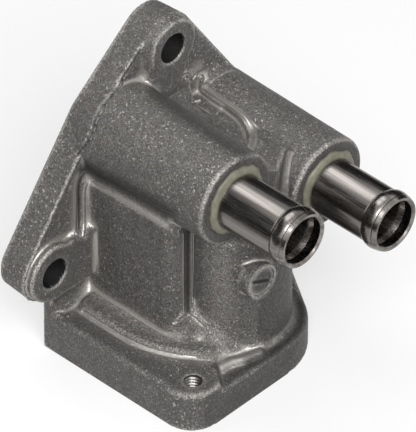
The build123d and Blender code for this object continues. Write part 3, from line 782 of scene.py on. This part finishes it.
class OUTLET_OT_casting(bpy.types.Operator):
    """Give the housing its cast skin"""
    bl_idname = "outlet.casting"
    bl_label = "Casting"

    def execute(self, context):
        settings = context.scene.outlet_casting
        piece = new_piece("housing_casting", welded_copy("housing"))
        self.remesh(piece, settings)
        self.sculpt(piece.data, settings)
        self.thin(piece, settings)
        self.mark_wear_and_painted_light(piece.data)
        for face in piece.data.polygons:
            face.use_smooth = True
        piece.data.materials.append(cast_aluminium(settings))
        finish_piece(piece, "cast_aluminium", "housing")
        return {"FINISHED"}

    def remesh(self, piece, settings):
        """One closed skin with rounded edges."""
        remesh = piece.modifiers.new("skin", "REMESH")
        remesh.mode = "VOXEL"
        remesh.voxel_size = settings.voxel
        relax = piece.modifiers.new("relax", "SMOOTH")
        relax.factor = 0.5
        relax.iterations = 3
        bake_modifiers(piece)

    def thin(self, piece, settings):
        """Skin brought down to the triangles that the settings allow."""
        count = sum(len(face.vertices) - 2 for face in piece.data.polygons)
        thin = piece.modifiers.new("thin", "DECIMATE")
        thin.ratio = min(1.0, settings.triangles / count)
        bake_modifiers(piece)

    def sculpt(self, mesh, settings):
        """Parting flash, mould joints, fillet lines and the slow waves of the cast skin."""
        skin = Skin(mesh)
        x, z = skin.points[:, 0], skin.points[:, 2]
        machined = (z < FLAT_BAND) | (x < HOUSING_LOW.x / MM + FLAT_BAND)
        for share, scale in WAVES:
            skin.waves(share * settings.waviness / MM, scale, machined)
        for path, radius, rounds in SOFT_PLACES:
            skin.soften(path, radius, rounds)
        skin.renew_normals()
        for path, width, height, ragged in CAST_LINES:
            skin.ridge(curved(path), width, height, ragged)
        end = LUGS[1].y / MM - RIM_GAP
        skin.ridge([point for point in rim_path() if point[1] < end and point[2] > RIM_FOOT], *RIM_FLASH)
        skin.spot(*PIT)
        for hole, top in zip(TAPPED, TAP_TOPS):
            away = skin.points[:, :2] - np.array((hole.x, hole.y)) / MM
            reach = np.linalg.norm(away, axis=1)
            inside = (reach < TAP_R + THREAD_BAND) & (skin.points[:, 2] < top - THREAD_MOUTH)
            skin.points[inside, :2] += away[inside] * (THREAD_ROOM / reach[inside])[:, None]
        skin.put_back()

    def mark_wear_and_painted_light(self, mesh):
        """Attributes for the material: worn edges, satin fillets with a painted highlight, painted
        highlights and painted shade along paths, painted shade in holes and on ends, and dark joint lines.
        """
        skin = Skin(mesh)
        bend = bend_of(mesh)
        layers = {
            # The first layer holds worn edges and painted highlights, the second satin fillets with a
            # painted highlight, the third dark joint lines and painted shade
            "edge": wear_and_highlight_share(bend, *EDGE_WEAR),
            "satin": wear_and_highlight_share(-bend, *FILLET_SATIN_AND_HIGHLIGHT),
            "grime": np.zeros(len(bend)),
            "machined": np.zeros(len(bend)),
        }
        for name, path, width, strength in STROKES:
            near, share = skin.near(curved(path), width)
            layers[name][near] = np.maximum(layers[name][near], share * strength)
        x, y, z = skin.points.T
        machined = (x < HOUSING_LOW.x / MM + CUT_BAND) | (z < HOUSING_LOW.z / MM + CUT_BAND)
        layers["machined"][machined] = 1.0
        # Painted shade inside the bolt holes, and less wear on their rims
        for lug in LUGS:
            reach = np.hypot(y - lug.y / MM, z - lug.z / MM)
            layers["grime"][(reach < BOLT_R + HOLE_BAND) & (x < LUG_FACE - BOLT_MOUTH)] = 1.0
            layers["edge"][(reach < BOLT_R + BOLT_RIM) & (z > lug.z / MM - BOLT_RIM_LOW)] *= BOLT_RIM_WEAR
        # Painted shade on the ends that face along the pipes
        ends = (skin.normals[:, 0] > END_FACING) & (x > END_X)
        layers["grime"][ends] = np.maximum(layers["grime"][ends], END_PAINTED_SHADE)
        # Painted shade inside the screw holes
        for hole in TAPPED:
            inside = np.hypot(x - hole.x / MM, y - hole.y / MM) < TAP_R + HOLE_BAND
            layers["grime"][inside & (z < LEDGE_TOP - TAP_MOUTH)] = TAP_PAINTED_SHADE
        for name, values in layers.items():
            paint(mesh, name, values)


class OUTLET_OT_threads(bpy.types.Operator):
    """Cut the coarse thread of the two screw holes"""
    bl_idname = "outlet.threads"
    bl_label = "Threads"

    def execute(self, context):
        settings = context.scene.outlet_threads
        metal = cut_thread(settings)
        for name, hole, top in zip(("front", "back"), TAPPED, TAP_TOPS):
            piece = new_piece("thread_" + name, self.coil(hole, top * MM, settings), metal)
            finish_piece(piece, "cast_aluminium")
        return {"FINISHED"}

    def coil(self, hole, top, settings):
        """Section of the thread, spun up the hole."""
        pitch, root = settings.pitch, settings.radius
        crest = root - settings.height
        low = HOUSING_LOW.z + THREAD_START * pitch
        high = top - THREAD_END * pitch
        turns = (high - low) / pitch
        steps = int(settings.segments * turns)
        half = THREAD_FOOT * pitch
        flat = THREAD_FLAT * half
        coil = bmesh.new()
        corners = [
            coil.verts.new((hole.x + out, hole.y, low + up))
            for out, up in ((root, -half), (crest, -flat), (crest, flat), (root, half))
        ]
        face = coil.faces.new(corners)
        bmesh.ops.spin(
            coil, geom=[face, *face.edges, *face.verts], cent=(hole.x, hole.y, low), axis=(0, 0, 1),
            dvec=(0, 0, (high - low) / steps), angle=2 * pi * turns, steps=steps, use_duplicate=False)
        bmesh.ops.recalc_face_normals(coil, faces=coil.faces)
        return coil


class OUTLET_OT_pipes(bpy.types.Operator):
    """Polish the two hose pipes with their beads"""
    bl_idname = "outlet.pipes"
    bl_label = "Hose pipes"

    def execute(self, context):
        steel = drawn_steel(context.scene.outlet_pipes)
        for place in PIPE_AXES:
            node = "hose_pipe_" + place
            pipe = welded_copy(node)
            for edge in pipe.edges:
                edge.smooth = len(edge.link_faces) == 2 and edge.calc_face_angle(pi) < PIPE_SHARP
            finish_piece(new_piece("steel_" + node, pipe, steel, smooth=True), "pipe_steel", node)
        return {"FINISHED"}


class OUTLET_OT_sealant(bpy.types.Operator):
    """Lay the bead of sealant round each pipe"""
    bl_idname = "outlet.sealant"
    bl_label = "Sealant"

    def execute(self, context):
        settings = context.scene.outlet_sealant
        sealant = cured_sealant(settings)
        for place, axis in PIPE_AXES.items():
            node = "sealant_ring_" + place
            bead = welded_copy(node)
            for corner in bead.verts:
                away = Vector((0.0, corner.co.y - axis.y, corner.co.z - axis.z))
                share = (away.length - PIPE_R * MM) / SEAL_WIDTH / MM
                wander = (part * noise.noise(corner.co / MM * scale) for part, scale in SEAL_WAVES)
                corner.co += away.normalized() * share * sum(wander, SEAL_SWELL) * settings.unevenness
            finish_piece(new_piece("sealant_" + place, bead, sealant, smooth=True), "sealant", node)
        return {"FINISHED"}


class OUTLET_OT_stage(bpy.types.Operator):
    """Set the floor, the soft studio light and the camera"""
    bl_idname = "outlet.stage"
    bl_label = "Stage"

    def execute(self, context):
        settings = context.scene.outlet_stage
        self.floor()
        self.world(settings)
        self.lights(settings)
        self.cards(settings)
        self.camera(settings)
        context.scene.view_settings.view_transform = "Standard"
        return {"FINISHED"}

    def floor(self):
        """Wide floor under the part."""
        ground = bmesh.new()
        bmesh.ops.create_grid(ground, x_segments=1, y_segments=1, size=FLOOR_SIZE)
        new_piece("floor", ground, self.floor_white())

    def background_rays(self, tree):
        """One for rays that show the background, seen directly, in metal or through glass."""
        seen = tree.nodes.new("ShaderNodeLightPath")
        value = seen.outputs["Is Camera Ray"]
        for other in ("Is Glossy Ray", "Is Transmission Ray"):
            either = tree.nodes.new("ShaderNodeMath")
            either.operation = "MAXIMUM"
            tree.links.new(value, either.inputs[0])
            tree.links.new(seen.outputs[other], either.inputs[1])
            value = either.outputs["Value"]
        return value

    def diffuse(self, tree, grey):
        """Plain matt grey."""
        node = tree.nodes.new("ShaderNodeBsdfDiffuse")
        node.inputs["Color"].default_value = shade((1.0, 1.0, 1.0), grey)
        return node.outputs["BSDF"]

    def blend(self, tree, first, second):
        """Node that mixes two shaders."""
        node = tree.nodes.new("ShaderNodeMixShader")
        tree.links.new(first, node.inputs[1])
        tree.links.new(second, node.inputs[2])
        return node

    def floor_white(self):
        """Pale floor that keeps the part's shadow and throws little light back up."""
        material = bpy.data.materials.new("floor_white")
        material.use_nodes = True
        tree = material.node_tree
        tree.nodes.clear()
        glow = tree.nodes.new("ShaderNodeEmission").outputs["Emission"]
        lit = self.blend(tree, self.diffuse(tree, FLOOR_GREY), glow)
        lit.inputs["Fac"].default_value = FLOOR_GLOW
        pick = self.blend(tree, self.diffuse(tree, FLOOR_BOUNCE), lit.outputs["Shader"])
        tree.links.new(self.background_rays(tree), pick.inputs["Fac"])
        out = tree.nodes.new("ShaderNodeOutputMaterial")
        tree.links.new(pick.outputs["Shader"], out.inputs["Surface"])
        return material

    def world(self, settings):
        """White room that lights the part only a little."""
        world = bpy.data.worlds.new("studio")
        bpy.context.scene.world = world
        world.use_nodes = True
        tree = world.node_tree
        room = tree.nodes["Background"]
        room.inputs["Color"].default_value = (1.0, 1.0, 1.0, 1.0)
        strength = tree.nodes.new("ShaderNodeMapRange")
        strength.inputs["To Min"].default_value = settings.ambient
        strength.inputs["To Max"].default_value = 1.0
        tree.links.new(self.background_rays(tree), strength.inputs["Value"])
        tree.links.new(strength.outputs["Result"], room.inputs["Strength"])

    def aim(self, name, data, settings, way, distance=1.0):
        """Lamp or camera some way from the target, turned to look at it."""
        holder = new_object(name, data)
        holder.location = Vector(settings.target) + distance * way
        holder.rotation_euler = (-way).to_track_quat("-Z", "Y").to_euler()
        return holder

    def lights(self, settings):
        """Soft lamps, each with the power that the settings give it."""
        for name, way, width, height in LAMPS:
            lamp = bpy.data.lights.new(name, "AREA")
            lamp.shape = "RECTANGLE"
            lamp.size = width
            lamp.size_y = height
            lamp.energy = getattr(settings, name)
            self.aim(name, lamp, settings, Vector(way))

    def cards(self, settings):
        """Black cards that only the polished metal sees, as round a shiny part in a studio."""
        black = bpy.data.materials.new("flag_black")
        black.use_nodes = True
        shader = black.node_tree.nodes["Principled BSDF"]
        shader.inputs["Base Color"].default_value = shade((1.0, 1.0, 1.0), CARD_GREY)
        shader.inputs["Roughness"].default_value = 1.0
        for name, way, width, height in CARDS:
            card = bmesh.new()
            bmesh.ops.create_grid(card, x_segments=1, y_segments=1, size=0.5)
            bmesh.ops.scale(card, vec=(width, height, 1.0), verts=card.verts)
            turn = Vector(way).to_track_quat("Z", "Y").to_matrix().to_4x4()
            place = Matrix.Translation(Vector(settings.target) + Vector(way)) @ turn
            bmesh.ops.transform(card, matrix=place, verts=card.verts)
            piece = new_piece(name, card, black)
            piece.visible_camera = False
            piece.visible_diffuse = False
            piece.visible_shadow = False

    def camera(self, settings):
        """Camera as the photo was taken."""
        turn, rise = settings.azimuth, settings.elevation
        way = Vector((sin(turn) * cos(rise), -cos(turn) * cos(rise), sin(rise)))
        lens = bpy.data.cameras.new("camera")
        lens.sensor_fit = "VERTICAL"
        lens.sensor_height = FRAME_HEIGHT
        lens.lens = settings.lens
        lens.clip_start = 0.1
        lens.clip_end = 20.0
        bpy.context.scene.camera = self.aim("camera", lens, settings, way, settings.distance)


class OUTLET_PT_sidebar(bpy.types.Panel):
    """Sidebar panel that lists the pieces and their settings"""
    bl_idname = "OUTLET_PT_sidebar"
    bl_label = "Coolant outlet"
    bl_space_type = "VIEW_3D"
    bl_region_type = "UI"
    bl_category = "Outlet"

    def draw(self, context):
        for owner, operator in PIECES:
            box = self.layout.box()
            settings = getattr(context.scene, owner)
            for name in settings.bl_rna.properties.keys():
                if name not in ("rna_type", "name"):
                    box.prop(settings, name)
            box.operator(operator)


SETTINGS = {
    "outlet_casting": CastingSettings,
    "outlet_threads": ThreadSettings,
    "outlet_pipes": PipeSettings,
    "outlet_sealant": SealantSettings,
    "outlet_stage": StageSettings,
}
PIECES = (
    ("outlet_stage", "outlet.stage"),
    ("outlet_casting", "outlet.casting"),
    ("outlet_threads", "outlet.threads"),
    ("outlet_pipes", "outlet.pipes"),
    ("outlet_sealant", "outlet.sealant"),
)
CLASSES = (
    *SETTINGS.values(), OUTLET_OT_casting, OUTLET_OT_threads, OUTLET_OT_pipes, OUTLET_OT_sealant,
    OUTLET_OT_stage, OUTLET_PT_sidebar,
)


def register():
    for item in CLASSES:
        bpy.utils.register_class(item)
    for owner, settings in SETTINGS.items():
        setattr(bpy.types.Scene, owner, bpy.props.PointerProperty(type=settings))


def unregister():
    for owner in SETTINGS:
        delattr(bpy.types.Scene, owner)
    for item in reversed(CLASSES):
        bpy.utils.unregister_class(item)


def main():
    register()
    bpy.ops.outlet.stage()
    bpy.ops.outlet.casting()
    bpy.ops.outlet.threads()
    bpy.ops.outlet.pipes()
    bpy.ops.outlet.sealant()


if __name__ == "__main__":
    main()
